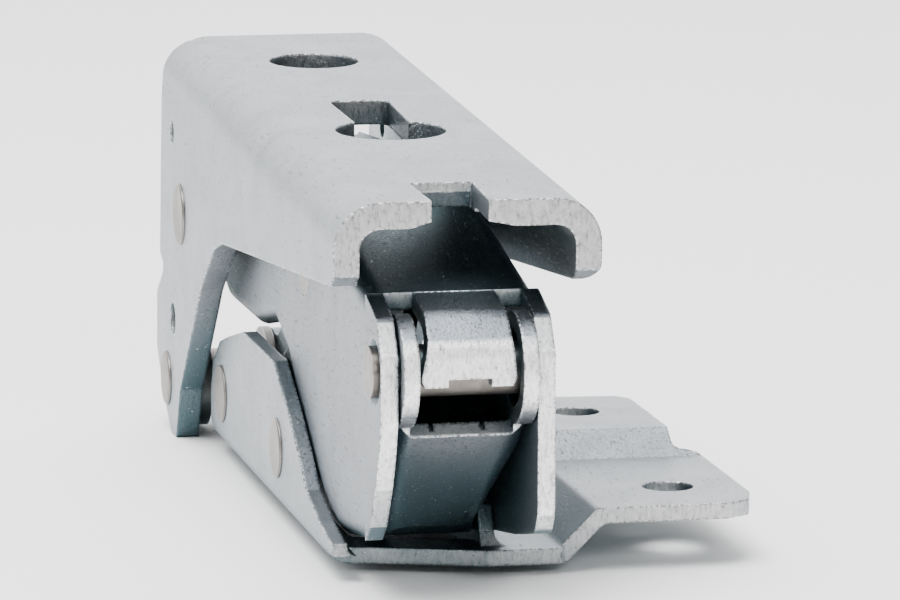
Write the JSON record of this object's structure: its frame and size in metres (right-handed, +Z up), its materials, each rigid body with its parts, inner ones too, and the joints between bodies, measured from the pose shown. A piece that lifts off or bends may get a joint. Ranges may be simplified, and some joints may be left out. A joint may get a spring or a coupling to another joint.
{
  "type": "concealed multi-link appliance door hinge",
  "caption": "Closed multi-link hinge of pressed steel: a keyholed door channel over nested links and a cabinet bracket.",
  "frame": {"origin": "centre of the near screw hole, on the underside of the bracket's screw flange", "axes": "+X across the hinge towards the screw flange, +Y back along the channel, +Z up out of the cabinet wall"},
  "size_m": [0.0554, 0.1315, 0.0525],
  "materials": {
    "zinc_channel": "satin zinc plate",
    "zinc_bracket": "satin zinc plate",
    "zinc_link": "satin zinc plate",
    "steel_pin": "plain turned steel",
    "steel_ring": "plain turned steel"
  },
  "bodies": {
    "cabinet_bracket": {"cabinet_bracket": "zinc_bracket", "bracket_front_pin": "steel_pin", "bracket_rear_pin": "steel_pin", "bracket_front_sleeve": "steel_ring", "bracket_rear_sleeve_left": "steel_ring", "bracket_rear_sleeve_right": "steel_ring"},
    "cross_link": {"cross_link_left": "zinc_link", "cross_link_right": "zinc_link", "cross_pin": "steel_pin", "knee_pin": "steel_pin", "cross_spacer": "steel_ring", "cross_sleeve_left": "steel_ring", "cross_sleeve_right": "steel_ring"},
    "main_link": {"main_link": "zinc_link", "front_pin": "steel_pin"},
    "door_channel": {"door_channel": "zinc_channel", "door_upper_rivet_left": "steel_pin", "door_upper_rivet_right": "steel_pin", "door_lower_pin": "steel_pin", "door_upper_collar_left": "steel_ring", "door_upper_collar_right": "steel_ring", "door_lower_collar_left": "steel_ring", "door_lower_collar_right": "steel_ring", "door_lower_sleeve_left": "steel_ring", "door_lower_sleeve_right": "steel_ring", "door_lower_washer_left": "steel_ring", "door_lower_washer_right": "steel_ring"},
    "front_link": {"front_link": "zinc_link"},
    "rear_link": {"rear_link": "zinc_link"}
  },
  "joints": [
    {"name": "cross_link_pivot", "type": "hinge", "parent": "cabinet_bracket", "child": "cross_link", "pos_m": [-0.0308, 0.0658, 0.003], "axis": [-1, 0, 0], "range_deg": [0, 80.5]},
    {"name": "main_link_pivot", "type": "hinge", "parent": "cross_link", "child": "main_link", "pos_m": [-0.0308, 0.0183, 0.0265], "axis": [-1, 0, 0], "range_deg": [-70.1, 0]},
    {"name": "door_pivot", "type": "hinge", "parent": "main_link", "child": "door_channel", "pos_m": [-0.0308, 0.0783, 0.0246], "axis": [-1, 0, 0], "range_deg": [0, 79.6]},
    {"name": "front_link_pivot", "type": "hinge", "parent": "cabinet_bracket", "child": "front_link", "pos_m": [-0.0308, 0.0251, 0.0035], "axis": [-1, 0, 0], "range_deg": [0, 83.4]},
    {"name": "rear_link_pivot", "type": "hinge", "parent": "cross_link", "child": "rear_link", "pos_m": [-0.0308, 0.0343, 0.0025], "axis": [-1, 0, 0], "range_deg": [-76.5, 0]}
  ],
  "couplings": [
    {"joint": "main_link_pivot", "follows": "cross_link_pivot", "ratio": -0.87},
    {"joint": "door_pivot", "follows": "cross_link_pivot", "ratio": 0.9875},
    {"joint": "front_link_pivot", "follows": "cross_link_pivot", "ratio": 1.0352},
    {"joint": "rear_link_pivot", "follows": "cross_link_pivot", "ratio": -0.949}
  ]
}
